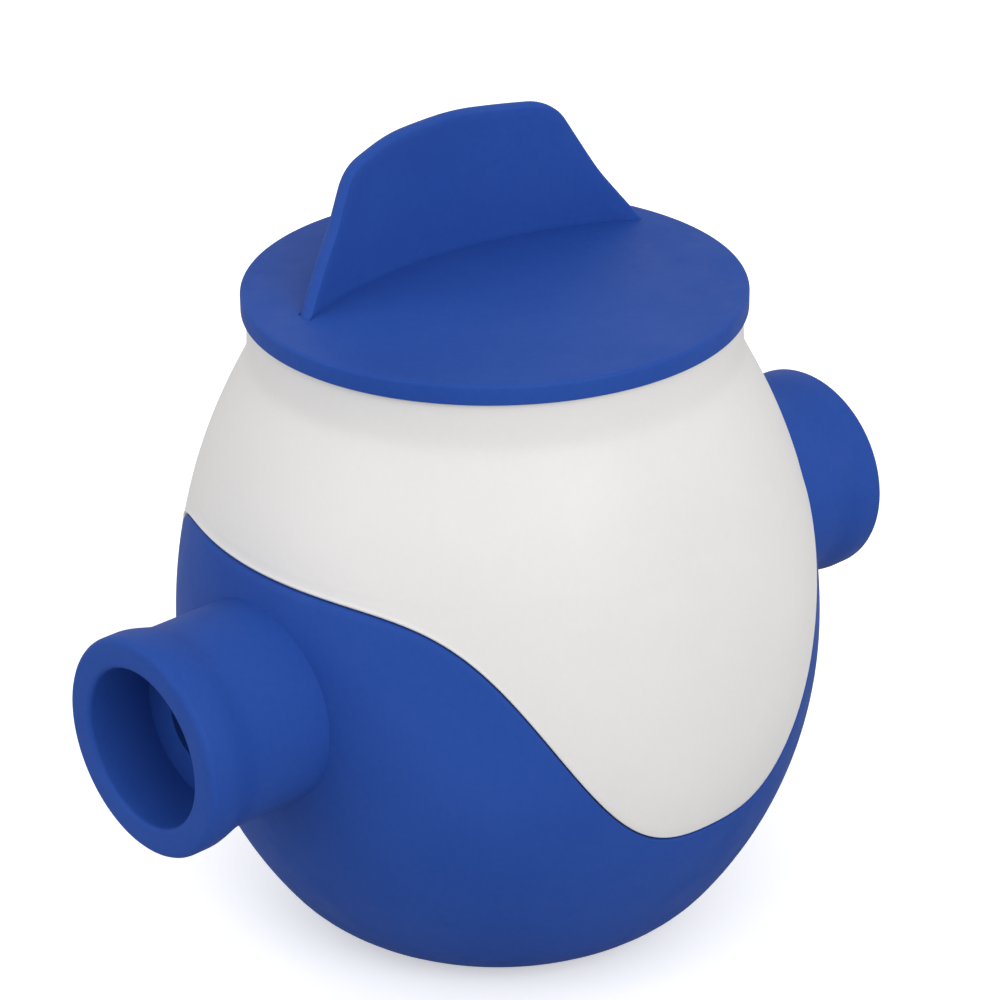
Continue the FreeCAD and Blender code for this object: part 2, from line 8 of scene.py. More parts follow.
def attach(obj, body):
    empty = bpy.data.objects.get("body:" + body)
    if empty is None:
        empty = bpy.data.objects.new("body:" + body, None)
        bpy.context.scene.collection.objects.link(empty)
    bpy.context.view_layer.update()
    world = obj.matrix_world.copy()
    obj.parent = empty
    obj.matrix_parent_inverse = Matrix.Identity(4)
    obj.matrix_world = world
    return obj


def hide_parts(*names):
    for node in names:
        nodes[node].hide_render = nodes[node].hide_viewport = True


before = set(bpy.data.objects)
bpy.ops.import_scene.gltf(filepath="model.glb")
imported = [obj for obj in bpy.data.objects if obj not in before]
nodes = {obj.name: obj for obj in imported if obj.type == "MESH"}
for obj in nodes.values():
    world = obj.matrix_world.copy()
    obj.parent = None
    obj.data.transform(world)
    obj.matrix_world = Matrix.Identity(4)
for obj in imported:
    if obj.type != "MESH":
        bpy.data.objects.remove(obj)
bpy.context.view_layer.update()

mm = 0.001
tau = 2 * math.pi


def arcPoints(centre, radius, start, stop, count):
    # points round a circle: centre + radius * (cos, sin) from start to stop, in degrees
    turn = np.radians(np.linspace(start, stop, count))
    return np.stack([centre[0] + radius * np.cos(turn), centre[1] + radius * np.sin(turn)], 1)


def roundedPath(corners, bends, steps=5):
    # a polyline whose corners are replaced by tangent arcs: each arc leaves its corner's two
    # sides at bend * tan(turn / 2) from the corner
    corners = [np.array(c, float) for c in corners]
    path = [corners[0]]
    for before, corner, after, bend in zip(corners, corners[1:], corners[2:], bends):
        a = (before - corner) / np.linalg.norm(before - corner)
        b = (after - corner) / np.linalg.norm(after - corner)
        half = math.acos(np.clip(a @ b, -1, 1)) / 2
        if bend <= 0 or half > 1.56:
            path.append(corner)
            continue
        middle = corner + (a + b) / np.linalg.norm(a + b) * bend / math.sin(half)
        first = corner + a * bend / math.tan(half) - middle
        last = corner + b * bend / math.tan(half) - middle
        for t in np.linspace(0, 1, steps):
            spoke = first * math.sin((1 - t) * (math.pi - 2 * half)) + last * math.sin(
                t * (math.pi - 2 * half))
            path.append(middle + spoke / np.linalg.norm(spoke) * bend)
    path.append(corners[-1])
    return np.array(path)


def respace(path, gap):
    # the same line with points added so that no step is longer than gap
    out = [path[:1]]
    for a, b in zip(path, path[1:]):
        count = max(1, int(np.ceil(np.linalg.norm(b - a) / gap)))
        out.append(a + (b - a) * (np.arange(1, count + 1) / count)[:, None])
    return np.concatenate(out)


def turnProfile(path, turns, sides):
    # surface of revolution: (r, z) of the path carried round Z; a grid of sides by path points
    angle = np.arange(sides) / sides * turns
    radius, height = path[:, 0], path[:, 1]
    return np.stack([np.outer(np.cos(angle), radius), np.outer(np.sin(angle), radius),
                     np.outer(np.ones(sides), height)], 2)


def gridMesh(name, grid, closeU=True, closeV=False):
    # quads between the neighbours of a grid of points in millimetres, closed where asked
    rows, columns = grid.shape[:2]
    u = np.arange(rows if closeU else rows - 1)
    v = np.arange(columns if closeV else columns - 1)
    uu, vv = np.meshgrid(u, v, indexing="ij")
    nextU, nextV = (uu + 1) % rows, (vv + 1) % columns
    faces = np.stack([uu * columns + vv, nextU * columns + vv,
                      nextU * columns + nextV, uu * columns + nextV], 2).reshape(-1, 4)
    mesh = bpy.data.meshes.new(name)
    mesh.from_pydata((grid.reshape(-1, 3) * mm).tolist(), [], faces.tolist())
    return mesh


def tidyMesh(mesh, weld=2e-6):
    # merges doubles, drops empty faces and turns every face outwards
    bm = bmesh.new()
    bm.from_mesh(mesh)
    bmesh.ops.remove_doubles(bm, verts=bm.verts, dist=weld)
    bmesh.ops.dissolve_degenerate(bm, edges=bm.edges, dist=weld)
    bmesh.ops.recalc_face_normals(bm, faces=bm.faces)
    bm.to_mesh(mesh)
    bm.free()
    return mesh


def shadeMesh(mesh, sharpAngle=32):
    mesh.polygons.foreach_set("use_smooth", [True] * len(mesh.polygons))
    mesh.set_sharp_from_angle(angle=math.radians(sharpAngle))


def addObject(name, mesh, material=None):
    item = bpy.data.objects.new(name, mesh)
    bpy.context.scene.collection.objects.link(item)
    if material:
        mesh.materials.append(material)
    return item


def booleanResult(name, base, tools, operation):
    # the base joined with, or cut by, each tool in turn; the tools are removed afterwards
    for tool in tools:
        step = base.modifiers.new("boolean", "BOOLEAN")
        step.operation, step.object, step.solver = operation, tool, "MANIFOLD"
    bpy.context.view_layer.update()
    graph = bpy.context.evaluated_depsgraph_get()
    mesh = bpy.data.meshes.new_from_object(base.evaluated_get(graph))
    mesh.name = name
    mesh.materials.clear()
    for item in [base] + tools:
        bpy.data.objects.remove(item)
    return mesh


def addNode(tree, kind, **values):
    made = tree.nodes.new(kind)
    for key, value in values.items():
        if hasattr(made, key):
            setattr(made, key, value)
        else:
            made.inputs[key.replace("_", " ")].default_value = value
    return made


def noiseValue(tree, vector, scale, detail=3.0, rough=0.5):
    made = addNode(tree, "ShaderNodeTexNoise", Scale=scale, Detail=detail, Roughness=rough)
    tree.links.new(vector, made.inputs["Vector"])
    return made.outputs["Fac"]


def mapRange(tree, source, fromLow, fromHigh, toLow, toHigh):
    made = addNode(tree, "ShaderNodeMapRange")
    for key, value in zip(("From Min", "From Max", "To Min", "To Max"),
                          (fromLow, fromHigh, toLow, toHigh)):
        made.inputs[key].default_value = value
    tree.links.new(source, made.inputs["Value"])
    return made.outputs["Result"]


def mixColour(tree, factor, first, second):
    made = addNode(tree, "ShaderNodeMix", data_type="RGBA")
    tree.links.new(factor, made.inputs["Factor"])
    for socket, value in ((made.inputs[6], first), (made.inputs[7], second)):
        if isinstance(value, bpy.types.NodeSocket):
            tree.links.new(value, socket)
        else:
            socket.default_value = (*value, 1)
    return made.outputs[2]


def mouldedPlastic(name, finish):
    # satin moulded plastic: two tones drifting slowly, chalky bloom in patches, fine spark-eroded
    # grain and a slight flow waviness in the bump, roughness drifting with a noise of its own
    material = bpy.data.materials.new(name)
    material.use_nodes = True
    tree = material.node_tree
    shader = tree.nodes["Principled BSDF"]
    place = addNode(tree, "ShaderNodeTexCoord").outputs["Object"]
    drift = mapRange(tree, noiseValue(tree, place, 22, 2), 0.35, 0.65, 0, 1)
    speck = mapRange(tree, noiseValue(tree, place, 900, 2), 0.3, 0.7, 0, 1)
    bloom = mapRange(tree, noiseValue(tree, place, 75, 6, 0.65), 0.52, 0.78, 0, finish["bloom"])
    tone = mixColour(tree, drift, finish["colour"], finish["deep"])
    tone = mixColour(tree, mapRange(tree, speck, 0, 1, 0, finish["speck"]), tone, finish["pale"])
    tone = mixColour(tree, bloom, tone, finish["pale"])
    tree.links.new(tone, shader.inputs["Base Color"])
    rough = mapRange(tree, noiseValue(tree, place, 140, 5, 0.6), 0.3, 0.7,
                     finish["rough"] - 0.05, finish["rough"] + 0.07)
    tree.links.new(rough, shader.inputs["Roughness"])
    shader.inputs["Specular IOR Level"].default_value = finish["specular"]
    shader.inputs["IOR"].default_value = finish.get("refraction", 1.45)
    if finish.get("glow"):
        shader.inputs["Subsurface Weight"].default_value = finish["glow"]
        shader.inputs["Subsurface Radius"].default_value = (0.006, 0.005, 0.004)
        shader.inputs["Subsurface Scale"].default_value = 0.5
    wave = addNode(tree, "ShaderNodeBump", Strength=0.12, Distance=0.0006)
    tree.links.new(noiseValue(tree, place, 38, 2), wave.inputs["Height"])
    grain = addNode(tree, "ShaderNodeBump", Strength=finish["grain"], Distance=0.00008)
    tree.links.new(noiseValue(tree, place, 2600, 2), grain.inputs["Height"])
    tree.links.new(wave.outputs["Normal"], grain.inputs["Normal"])
    tree.links.new(grain.outputs["Normal"], shader.inputs["Normal"])
    return material


def dullRubber(name, colour):
    # matt rubber: blotchy dark tone and a soft pebbled bump
    return mouldedPlastic(name, {"colour": colour, "deep": tuple(c * 0.7 for c in colour),
                                 "pale": (0.14, 0.14, 0.14), "bloom": 0.35, "speck": 0.12,
                                 "rough": 0.72, "specular": 0.3, "grain": 0.5})


def drawnSteel(name):
    # stainless wire: fine streaks along the pin, clouded roughness
    material = bpy.data.materials.new(name)
    material.use_nodes = True
    tree = material.node_tree
    shader = tree.nodes["Principled BSDF"]
    place = addNode(tree, "ShaderNodeTexCoord").outputs["Object"]
    stretch = addNode(tree, "ShaderNodeMapping")
    stretch.inputs["Scale"].default_value = (1, 0.08, 1)
    tree.links.new(place, stretch.inputs["Vector"])
    streak = noiseValue(tree, stretch.outputs["Vector"], 1800, 4)
    tone = mixColour(tree, streak, (0.42, 0.43, 0.44), (0.66, 0.66, 0.65))
    tree.links.new(tone, shader.inputs["Base Color"])
    tree.links.new(mapRange(tree, streak, 0.3, 0.7, 0.22, 0.4), shader.inputs["Roughness"])
    shader.inputs["Metallic"].default_value = 1.0
    return material


blueFinish = {"colour": (0.019, 0.068, 0.325), "deep": (0.015, 0.060, 0.30),
              "pale": (0.05, 0.11, 0.38), "bloom": 0.10, "speck": 0.08, "rough": 0.52,
              "specular": 0.2, "refraction": 1.3, "grain": 0.3}
whiteFinish = {"colour": (0.715, 0.70, 0.69), "deep": (0.685, 0.675, 0.67),
               "pale": (0.76, 0.745, 0.73), "bloom": 0.25, "speck": 0.15, "rough": 0.46,
               "specular": 0.4, "grain": 0.3, "glow": 0.06}
basketFinish = {"colour": (0.60, 0.62, 0.64), "deep": (0.54, 0.565, 0.59),
                "pale": (0.74, 0.75, 0.75), "bloom": 0.4, "speck": 0.15, "rough": 0.5,
                "specular": 0.4, "grain": 0.3, "glow": 0.05}
shutterFinish = {"colour": (0.62, 0.22, 0.035), "deep": (0.55, 0.18, 0.025),
                 "pale": (0.72, 0.36, 0.12), "bloom": 0.25, "speck": 0.12, "rough": 0.45,
                 "specular": 0.4, "grain": 0.3}

bluePlastic = mouldedPlastic("bluePlastic", blueFinish)
whitePlastic = mouldedPlastic("whitePlastic", whiteFinish)
basketPlastic = mouldedPlastic("basketPlastic", basketFinish)
shutterPlastic = mouldedPlastic("shutterPlastic", shutterFinish)
sealRubber = dullRubber("sealRubber", (0.03, 0.03, 0.032))
clipSteel = drawnSteel("clipSteel")
print("materials ready")


vessel = {"baseRadius": 24, "bellyRadius": 60, "bellyHeight": 58, "bowlArc": 80,
          "shoulderArc": 104, "neckRadius": 44.6, "neckTop": 122, "wall": 3, "neckBore": 42.5,
          "recessRadius": 19, "recessDepth": 4, "floorRadius": 22, "floorTop": 7,
          "neckEase": 1.2, "easeStart": 30, "wallTop": 120.3, "rimStart": 120.5,
          "boreLow": 112, "boreFlare": (43.4, 108.5), "innerTop": 107,
          "edgeLow": 37, "edgeHigh": 86, "edgeSharpness": 1.635, "edgePower": 1.642,
          "sides": 288, "lip": 0.55, "groove": 0.3, "tongue": 4, "tonguePlay": 1.9,
          "tongueBevel": 0.4}
bowlLean = vessel["baseRadius"] - vessel["bellyRadius"] + vessel["bowlArc"]
vessel["cornerArc"] = ((vessel["bowlArc"] ** 2 - bowlLean ** 2 - vessel["bellyHeight"] ** 2)
                       / (2 * (vessel["bowlArc"] - vessel["bellyHeight"])))
cornerTurn = math.atan2(vessel["bellyHeight"] - vessel["cornerArc"], bowlLean)  # below level


def edgeHeight(angle):
    # the wavy edge: high - (high - low) * exp(-sharpness * (1 + cos 2 angle) ^ power)
    swell = (1 + np.cos(2 * angle)) ** vessel["edgePower"]
    drop = np.exp(-vessel["edgeSharpness"] * swell)
    return vessel["edgeHigh"] - (vessel["edgeHigh"] - vessel["edgeLow"]) * drop


def wallRadius(height, inset):
    # belly arc below the widest point and shoulder arc above it, both shrunk by inset; from
    # easeStart above that point the shoulder a eases into the neck b as
    # 0.5 * (a + b + sqrt((a - b)^2 + ease^2))
    away = height - vessel["bellyHeight"]
    low = vessel["bowlArc"] - inset
    high = vessel["shoulderArc"] - inset
    belly = vessel["bellyRadius"] - vessel["bowlArc"] + np.sqrt(
        np.maximum(low ** 2 - np.minimum(away, 0) ** 2, 0))
    shoulder = vessel["bellyRadius"] - vessel["shoulderArc"] + np.sqrt(
        np.maximum(high ** 2 - np.maximum(away, 0) ** 2, 0))
    neck = vessel["neckRadius"] - inset
    eased = 0.5 * (shoulder + neck + np.sqrt((shoulder - neck) ** 2 + vessel["neckEase"] ** 2))
    return np.where(away < 0, belly, np.where(away < vessel["easeStart"], shoulder, eased))


def cornerPoints(inset, count):
    # the corner arc from the flat base up to where the belly arc takes over
    return arcPoints((vessel["baseRadius"], vessel["cornerArc"]), vessel["cornerArc"] - inset,
                     -90, -math.degrees(cornerTurn), count)


def spread(columns, sides):
    # the same profile points on every side of the grid
    return np.repeat(columns[None], sides, 0)


def wallColumn(start, stop, inset, count, ease=1.0):
    # points up the wall from start to stop, where either height may differ from side to side
    share = np.linspace(0, 1, count) ** ease
    height = start[:, None] + (stop - start)[:, None] * share[None]
    return np.stack([wallRadius(height, inset), height], 2)


def ringColumn(radii, heights):
    # one row of points per side from as many radii as heights
    return np.stack([np.stack(np.broadcast_arrays(*radii), 1),
                     np.stack(np.broadcast_arrays(*heights), 1)], 2)


def toRound(profileGrid):
    # (r, z) for each side turned to x = r cos, y = r sin
    angle = np.arange(profileGrid.shape[0]) / profileGrid.shape[0] * tau
    radius = profileGrid[..., 0]
    return np.stack([radius * np.cos(angle)[:, None], radius * np.sin(angle)[:, None],
                     profileGrid[..., 1]], 2)


def lipColumn(edge, inset, side, steps=5):
    # a quarter round of radius lip where the wall meets the wavy edge: side 1 ends a wall that
    # comes up to the edge, -1 starts a wall that leaves it upwards
    lip = vessel["lip"]
    turn = np.linspace(0, math.pi / 2, steps)
    height = edge[:, None] - side * lip * (1 - np.sin(turn))[None]
    radius = wallRadius(edge, inset)[:, None] - lip * (1 - np.cos(turn))[None]
    column = np.stack([radius, height], 2)
    return column if side > 0 else column[:, ::-1]


def makeBowl():
    # blue bowl: base, corner arc, belly up to the wavy edge, rounded lip, ledge, tongue and the
    # inner wall back down to the floor
    sides = vessel["sides"]
    angle = np.arange(sides) / sides * tau
    edge = edgeHeight(angle)
    wall, lip = vessel["wall"], vessel["lip"]
    level = np.zeros(sides)
    outerCorner, innerCorner = cornerPoints(0, 14), cornerPoints(wall, 14)
    base, recess, depth = vessel["baseRadius"], vessel["recessRadius"], vessel["recessDepth"]
    foot = respace(roundedPath([(0, depth), (recess, depth), (recess, 0), (base, 0)],
                               [0.5, 0.8]), 3)
    floorRadius, floorTop = vessel["floorRadius"], vessel["floorTop"]
    inner = respace(roundedPath([(base, wall), (floorRadius, wall), (floorRadius, floorTop),
                                 (0, floorTop)], [0.4, 0.6]), 3)
    tongueTop, bevel = edge + vessel["tongue"], vessel["tongueBevel"]
    ledge = wallRadius(edge, 0) - lip
    middle, inside = wallRadius(edge, wall / 2), wallRadius(edge, wall)
    middleTop, insideTop = wallRadius(tongueTop, wall / 2), wallRadius(tongueTop, wall)
    columns = [
        spread(foot, sides), spread(outerCorner[1:], sides),
        wallColumn(level + outerCorner[-1, 1], edge - lip, 0, 70)[:, 1:],
        lipColumn(edge, 0, 1)[:, 1:],
        ringColumn((ledge * 0.5 + middle * 0.5, middle + 0.1), (edge, edge)),
        ringColumn((middle, middleTop), (edge + 0.1, tongueTop - bevel)),
        ringColumn((middleTop - bevel, insideTop + bevel, insideTop),
                   (tongueTop, tongueTop, tongueTop - bevel)),
        wallColumn(tongueTop - bevel - 0.1, level + innerCorner[-1, 1], wall, 60),
        spread(innerCorner[::-1][1:], sides),
        spread(inner[1:], sides)]
    mesh = gridMesh("bowl", toRound(np.concatenate(columns, 1)))
    return addObject("bowl", tidyMesh(mesh))


tail = {"height": 61.5, "radius": 19, "end": 83.8, "inner": 53.5, "bore": 14.75,
        "shoulder": 70.5, "pocket": 15.2, "lip": 20.4, "lipWidth": 4.2, "flare": 7.5,
        "lipRound": 1.3, "mouthRound": 0.9, "pocketRound": 0.4, "bite": 0.1, "reach": 90,
        "sides": 160}


def makeTail(name, node, side):
    # hose tail: its profile in (distance along X, radius) is carried round the X axis; an S
    # curve, radius + (lip - radius) * share^2 * (3 - 2 * share), takes the tube out to its lip
    lipStart = tail["end"] - tail["lipWidth"]
    mouth = roundedPath([(lipStart, tail["lip"]), (tail["end"], tail["lip"]),
                         (tail["end"], tail["bore"]), (tail["shoulder"], tail["bore"]),
                         (tail["shoulder"], tail["pocket"]), (tail["inner"], tail["pocket"]),
                         (tail["inner"], tail["radius"]), (lipStart - tail["flare"],
                                                           tail["radius"])],
                        [tail["lipRound"], tail["mouthRound"], 0, 0, tail["pocketRound"],
                         tail["pocketRound"]], 6)
    share = np.linspace(0, 1, 14)[1:-1]
    flare = np.stack([lipStart - tail["flare"] * (1 - share), tail["radius"] + (
        tail["lip"] - tail["radius"]) * share ** 2 * (3 - 2 * share)], 1)
    path = np.concatenate([respace(mouth, 3), flare])
    turn = np.arange(tail["sides"]) / tail["sides"] * tau
    grid = np.stack([np.outer(np.full_like(turn, side), path[:, 0]),
                     np.outer(np.cos(turn), path[:, 1]),
                     tail["height"] + np.outer(np.sin(turn), path[:, 1])], 2)
    mesh = tidyMesh(gridMesh(name, grid, True, True))
    shadeMesh(mesh)
    item = addObject(name, mesh, bluePlastic)
    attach(item, "vessel")
    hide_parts(node)


def makeRod(name, radius, start, stop, axis="x", sides=96):
    # a plain closed rod along X or Z, used only to cut with
    path = np.array([(0, start), (radius, start), (radius, stop), (0, stop)], float)
    grid = turnProfile(path, tau, sides)
    if axis == "x":
        grid = np.stack([grid[..., 2], grid[..., 0], tail["height"] + grid[..., 1]], 2)
    return addObject(name, tidyMesh(gridMesh(name, grid)))


def makeRib(angle):
    # thin rib from the bowl's wall to the basket, with a seat step; its outline in
    # (distance from the axis, height) is given a thickness and turned to its angle
    rib = {"reach": 37.2, "guide": 40.9, "foot": 6, "bend": 12, "slope": 1.2, "seat": 18,
           "top": 34, "sink": 1.5, "half": 1.5}
    heights = np.linspace(rib["foot"], rib["top"], 12)
    outer = np.stack([wallRadius(np.maximum(heights, rib["bend"]), rib["sink"])
                      - np.maximum(rib["bend"] - heights, 0) * rib["slope"], heights], 1)
    inner = np.array([(rib["guide"], rib["top"]), (rib["guide"], rib["seat"]),
                      (rib["reach"], rib["seat"]), (rib["reach"], rib["foot"])], float)
    outlineRz = np.concatenate([outer, inner])
    bm = bmesh.new()
    layers = []
    for side in (-1, 1):
        layers.append([bm.verts.new((r * mm, side * rib["half"] * mm, z * mm))
                       for r, z in outlineRz])
    bm.faces.new(layers[0])
    bm.faces.new(layers[1][::-1])
    count = len(outlineRz)
    for i in range(count):
        j = (i + 1) % count
        bm.faces.new((layers[0][i], layers[0][j], layers[1][j], layers[1][i]))
    bmesh.ops.rotate(bm, verts=bm.verts, cent=(0, 0, 0),
                     matrix=Matrix.Rotation(math.radians(angle), 3, "Z"))
    bmesh.ops.recalc_face_normals(bm, faces=bm.faces)
    mesh = bpy.data.meshes.new("rib")
    bm.to_mesh(mesh)
    bm.free()
    return addObject("rib", mesh)


def makeLowerHousing():
    # the bowl joined with its four ribs, then cut for both tails and the drain plug; the tail
    # holes are a little tighter than the tails, so that no gap shows round them
    drain = {"radius": 7, "low": 2, "high": 12}
    ribs = [makeRib(45 + 90 * k) for k in range(4)]
    ribbed = addObject("ribbed", booleanResult("ribbed", makeBowl(), ribs, "UNION"))
    cutters = [makeRod("tailHoles", tail["radius"] - tail["bite"], -tail["reach"], tail["reach"]),
               makeRod("drainHole", drain["radius"], drain["low"], drain["high"], "z", 64)]
    shell = booleanResult("lowerHousingShell", ribbed, cutters, "DIFFERENCE")
    shadeMesh(shell)
    item = addObject("lowerHousingShell", shell, bluePlastic)
    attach(item, "vessel")
    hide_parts("lower_housing")
    return item


lowerHousing = makeLowerHousing()
makeTail("inletTail", "inlet_tail", -1)
makeTail("outletTail", "outlet_tail", 1)
print("lower housing", len(lowerHousing.data.polygons), "faces")


thread = {"lead": 24, "starts": 4, "rampInner": 41.0, "rampLow": 109.5, "rampRise": 2.4,
          "rampOuter": 42.9, "rampAngle": 70, "lugSink": 0.6, "lugOuter": 42.05, "lugRise": 2.4,
          "lugAngle": 24, "lugPlay": 0.6, "lugPlace": 0.62, "edgeRound": 0.45}


def helixBar(inner, outer, low, rise, angle, start, steps=36):
    # a bar with rounded corners carried round Z while it climbs at the thread's lead; its ends
    # shrink to a point over the last few steps
    bend = thread["edgeRound"]
    section = roundedPath([(outer, rise / 2), (outer, rise), (inner, rise), (inner, 0), (outer, 0),
                           (outer, rise / 2)], [0, bend, bend, 0], 4)[:-1]
    turn = np.radians(start + np.linspace(0, angle, steps))
    climb = low + thread["lead"] * np.linspace(0, angle, steps) / 360
    ends = np.ones(steps)
    ends[[0, -1]] = 0.001
    ends[[1, -2]] = 0.75
    core = np.array([outer, rise / 2])
    shape = core + (section - core)[None] * ends[:, None, None]
    radius = shape[..., 0]
    return np.stack([radius * np.cos(turn)[:, None], radius * np.sin(turn)[:, None],
                     shape[..., 1] + climb[:, None]], 2)


def joinMeshes(name, meshes):
    bm = bmesh.new()
    for mesh in meshes:
        bm.from_mesh(mesh)
    joined = bpy.data.meshes.new(name)
    bm.to_mesh(joined)
    bm.free()
    return joined


def makeUpperHousing():
    # white shell: rounded lower lip along the wavy edge, shoulder, neck with a rounded rim, then
    # down the bore and the inner wall to the rebate that takes the tongue
    sides = vessel["sides"]
    angle = np.arange(sides) / sides * tau
    edge = edgeHeight(angle) + vessel["groove"]
    wall, lip = vessel["wall"], vessel["lip"]
    level = np.zeros(sides)
    neck = float(wallRadius(np.array(vessel["rimStart"]), 0))
    top, bore = vessel["neckTop"], vessel["neckBore"]
    rim = respace(roundedPath([(neck, vessel["rimStart"]), (neck, top), (bore, top),
                               (bore, vessel["boreLow"]), vessel["boreFlare"]],
                              [0.6, 0.6, 0.8], 5), 2)
    rebate = edge + vessel["tongue"] + vessel["tonguePlay"]
    columns = [
        lipColumn(edge, 0, -1),
        wallColumn(edge + lip, level + vessel["wallTop"], 0, 96)[:, 1:], spread(rim, sides),
        wallColumn(level + vessel["innerTop"], rebate, wall, 60),
        ringColumn((wallRadius(rebate, wall / 2),), (rebate,)),
        ringColumn((wallRadius(edge, wall / 2) + 0.15, wallRadius(edge, wall / 2) + 0.4),
                   (edge + 0.3, edge))]
    grid = toRound(np.concatenate(columns, 1))
    shell = tidyMesh(gridMesh("upperShell", grid, True, True))
    ramps = [tidyMesh(gridMesh("ramp", helixBar(
        thread["rampInner"], thread["rampOuter"], thread["rampLow"], thread["rampRise"],
        thread["rampAngle"], 90 * k), False, True)) for k in range(thread["starts"])]
    mesh = joinMeshes("upperHousingShell", [shell] + ramps)
    shadeMesh(mesh)
    item = addObject("upperHousingShell", mesh, whitePlastic)
    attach(item, "vessel")
    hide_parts("upper_housing")
    return item


upperHousing = makeUpperHousing()
print("upper housing", len(upperHousing.data.polygons), "faces")


lid = {"radius": 45.6, "top": 125, "under": 122.2, "rimInner": 44.95, "rimLow": 121.3,
       "grooveOuter": 44.36, "grooveInner": 42.36, "grooveTop": 123.3, "skirt": 40.6,
       "skirtWall": 1.8, "skirtLow": 108.6, "sides": 240}

# corners are (x, height above the lid) from the fin's left foot over its crown to its right foot
fin = {"arc": 76, "front": 16.8, "shift": 2.3, "thickness": 3.2, "topThickness": 2.8,
       "round": 0.9, "height": 26, "middle": (0.0, 11.0),
       "corners": [(-36.0, -1), (-35.0, 0.5), (-25.0, 13.2), (-20.2, 22.4), (-8, 25.4),
                   (7, 26.2), (26.2, 24.6), (34.0, 10.2), (41, 0), (42, -1)],
       "bends": [1, 12, 8.5, 40, 60, 8, 40, 2]}


def finOutline():
    # the fin's outline in (x, height): steep leaning left end, a long crowned top and a right
    # side that falls away and flares into the lid
    path = roundedPath(fin["corners"], fin["bends"], 10)
    foot = np.array([fin["corners"][-1], fin["corners"][0]], float)
    return respace(np.concatenate([path, respace(foot, 4)[1:-1]]), 1.6)


def makeFin():
    # a plate bent to an arc, y = sqrt(arc^2 - x^2) - arc: rings grow from the middle of the front
    # face to the outline, turn round the edge as a half circle and shrink back on the rear face
    outlinePoints = finOutline()
    middle = np.array(fin["middle"])
    offset = outlinePoints - middle
    step = np.roll(outlinePoints, -1, 0) - np.roll(outlinePoints, 1, 0)
    normal = np.stack([step[:, 1], -step[:, 0]], 1)
    normal /= np.linalg.norm(normal, axis=1)[:, None]
    normal *= np.sign(np.sum(normal * offset, 1))[:, None]
    edge = fin["round"]
    face = [(outlinePoints - normal * edge - middle) * share + middle
            for share in np.linspace(0, 1, 12)]
    turns = np.linspace(-math.pi / 2, math.pi / 2, 9)[1:-1]
    rim = [outlinePoints - normal * edge * (1 - math.cos(turn)) for turn in turns]
    flat = np.stack(face + rim + face[::-1], 1)
    side = np.concatenate([np.full(len(face), -1.0), np.sin(turns), np.full(len(face), 1.0)])
    x, height = flat[..., 0], flat[..., 1]
    share = np.clip(height / fin["height"], 0, 1)
    half = (fin["thickness"] + (fin["topThickness"] - fin["thickness"]) * share) / 2
    bend = np.sqrt(fin["arc"] ** 2 - (x + fin["shift"]) ** 2) - fin["arc"]
    y = fin["front"] + bend + fin["thickness"] / 2 + half * side
    return tidyMesh(gridMesh("fin", np.stack([x, y, lid["top"] + height], 2), True, False))


def makeLid():
    # the disc's section runs from its centre out over the rim, back under it past the seal's
    # groove, down the skirt and up inside it; the lugs sit lugPlace of the way along the ramps
    sides = lid["sides"]
    inner = lid["skirt"] - lid["skirtWall"]
    section = roundedPath([
        (0, lid["top"]), (lid["radius"], lid["top"]), (lid["radius"], lid["rimLow"]),
        (lid["rimInner"], lid["rimLow"]), (lid["rimInner"], lid["under"]),
        (lid["grooveOuter"], lid["under"]), (lid["grooveOuter"], lid["grooveTop"]),
        (lid["grooveInner"], lid["grooveTop"]), (lid["grooveInner"], lid["under"]),
        (lid["skirt"], lid["under"]), (lid["skirt"], lid["skirtLow"]), (inner, lid["skirtLow"]),
        (inner, lid["under"]), (0, lid["under"])],
        [0.7, 0.25, 0.25, 0, 0, 0, 0, 0, 0.5, 0.6, 0.6, 1.5], 7)
    disc = tidyMesh(gridMesh("disc", turnProfile(respace(section, 4), tau, sides)))
    lugStart = thread["rampAngle"] * thread["lugPlace"] - thread["lugAngle"] / 2
    lugLow = (thread["rampLow"] - thread["lugPlay"] - thread["lugRise"]
              + thread["lead"] * lugStart / 360)
    lugs = [tidyMesh(gridMesh("lug", helixBar(
        lid["skirt"] - thread["lugSink"], thread["lugOuter"], lugLow, thread["lugRise"],
        thread["lugAngle"], 90 * k + lugStart, 16), False, True)) for k in range(thread["starts"])]
    mesh = joinMeshes("lidCap", [disc, makeFin()] + lugs)
    shadeMesh(mesh)
    item = addObject("lidCap", mesh, bluePlastic)
    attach(item, "lid")
    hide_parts("lid")
    return item


lidCap = makeLid()
print("lid", len(lidCap.data.polygons), "faces")


finishes = {bluePlastic: ["valve_seat", "drain_plug"],
            basketPlastic: ["tablet_basket", "shutter_pivot", "outlet_strainer"],
            shutterPlastic: ["dose_shutter", "check_flap"],
            sealRubber: ["housing_seal", "lid_seal", "shutter_washer", "flap_pad", "drain_seal",
                         "foot_ring"],
            clipSteel: ["pivot_clip", "flap_pin"]}
for material, names in finishes.items():
    for name in names:
        for place in nodes[name].material_slots:
            place.material = material
print("inner pieces finished")


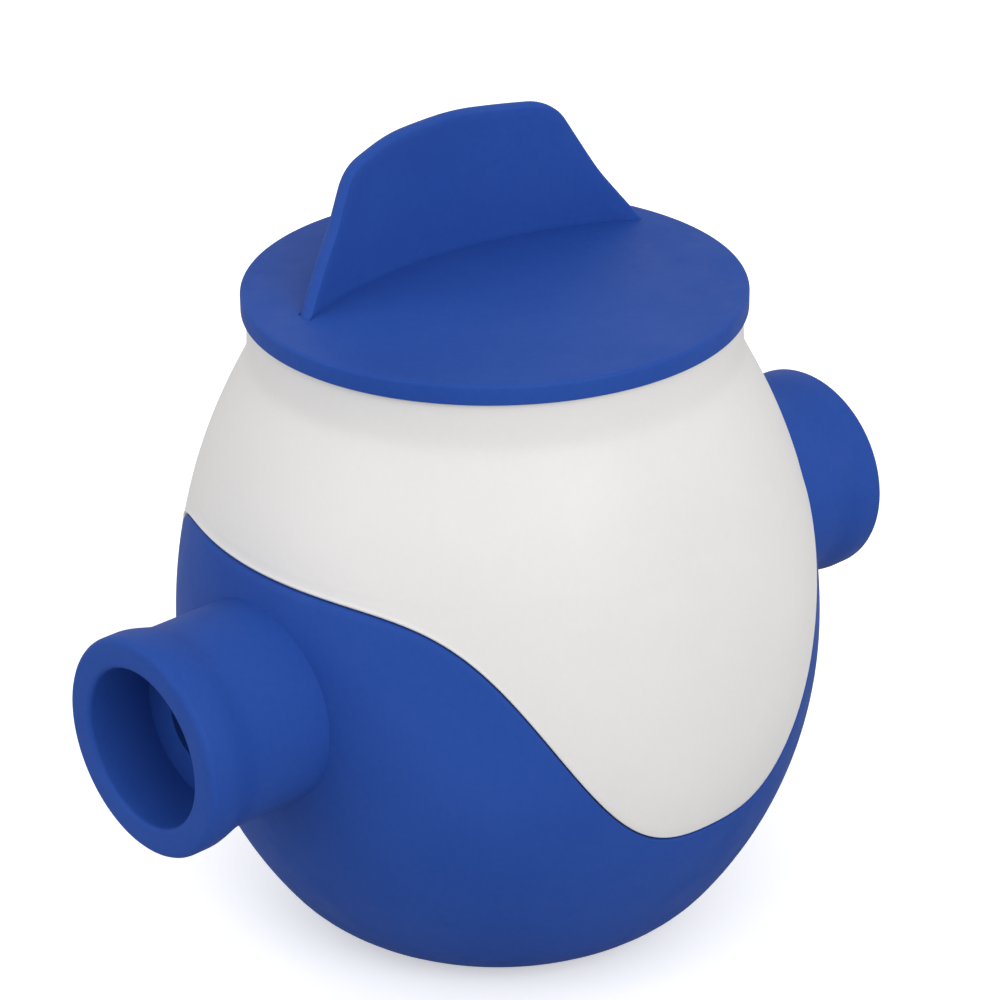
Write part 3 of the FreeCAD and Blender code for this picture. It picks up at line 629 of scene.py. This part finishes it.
def makeFloor():
    # white floor, seen brighter than the light it throws back
    floor = {"half": 6, "bounce": 0.52, "glow": 0.38}
    material = bpy.data.materials.new("paleFloor")
    material.use_nodes = True
    tree = material.node_tree
    shader = tree.nodes["Principled BSDF"]
    place = addNode(tree, "ShaderNodeTexCoord").outputs["Object"]
    seen = addNode(tree, "ShaderNodeLightPath").outputs["Is Camera Ray"]
    near = mixColour(tree, noiseValue(tree, place, 6, 2), (0.94, 0.94, 0.94), (0.96, 0.96, 0.96))
    tree.links.new(mixColour(tree, seen, (floor["bounce"],) * 3, near),
                   shader.inputs["Base Color"])
    tree.links.new(mapRange(tree, seen, 0, 1, 0, floor["glow"]),
                   shader.inputs["Emission Strength"])
    shader.inputs["Emission Color"].default_value = (1, 1, 1, 1)
    shader.inputs["Roughness"].default_value = 0.8
    shader.inputs["Specular IOR Level"].default_value = 0.1
    mesh = bpy.data.meshes.new("floor")
    half = floor["half"]
    mesh.from_pydata([(-half, -half, 0), (half, -half, 0), (half, half, 0), (-half, half, 0)], [],
                     [(0, 1, 2, 3)])
    addObject("floor", mesh, material)


def lookDirection(azimuth, elevation):
    # the way something looks down from an azimuth round Z and an elevation above the floor
    a, e = math.radians(azimuth), math.radians(elevation)
    return Vector((math.sin(a) * math.cos(e), math.cos(a) * math.cos(e), -math.sin(e)))


def makeSun(name, sun):
    # a broad soft light from one side
    data = bpy.data.lights.new(name, "SUN")
    data.energy, data.angle = sun["strength"], math.radians(sun["spread"])
    item = bpy.data.objects.new(name, data)
    bpy.context.scene.collection.objects.link(item)
    item.rotation_mode = "QUATERNION"
    item.rotation_quaternion = lookDirection(sun["azimuth"], sun["elevation"]).to_track_quat(
        "-Z", "Y")


def makeCamera():
    view = {"azimuth": 42.07, "elevation": 26.64, "distance": 0.684, "target": 0.0711,
            "lens": 132.7, "roll": 0.57, "shift": (0.0027, 0.0513)}
    forward = lookDirection(view["azimuth"], view["elevation"])
    data = bpy.data.cameras.new("camera")
    data.lens, data.sensor_width = view["lens"], 36
    data.shift_x, data.shift_y = view["shift"]
    data.clip_start, data.clip_end = 0.05, 50
    item = bpy.data.objects.new("camera", data)
    bpy.context.scene.collection.objects.link(item)
    item.location = Vector((0, 0, view["target"])) - forward * view["distance"]
    item.rotation_mode = "QUATERNION"
    aim = forward.to_track_quat("-Z", "Y").to_matrix()
    item.rotation_quaternion = (aim @ Matrix.Rotation(math.radians(-view["roll"]), 3, "Z")
                                ).to_quaternion()
    bpy.context.scene.camera = item


makeFloor()
makeSun("keyLight", {"azimuth": 10, "elevation": 29, "strength": 1.22, "spread": 40})
makeSun("leftFill", {"azimuth": 112, "elevation": 26, "strength": 0.62, "spread": 60})
makeCamera()

world = bpy.data.worlds.new("studio")
world.use_nodes = True
world.node_tree.nodes["Background"].inputs["Color"].default_value = (1, 1, 1, 1)
world.node_tree.nodes["Background"].inputs["Strength"].default_value = 0.82
bpy.context.scene.world = world
bpy.context.scene.view_settings.view_transform = "Standard"
print("floor, light and camera ready")
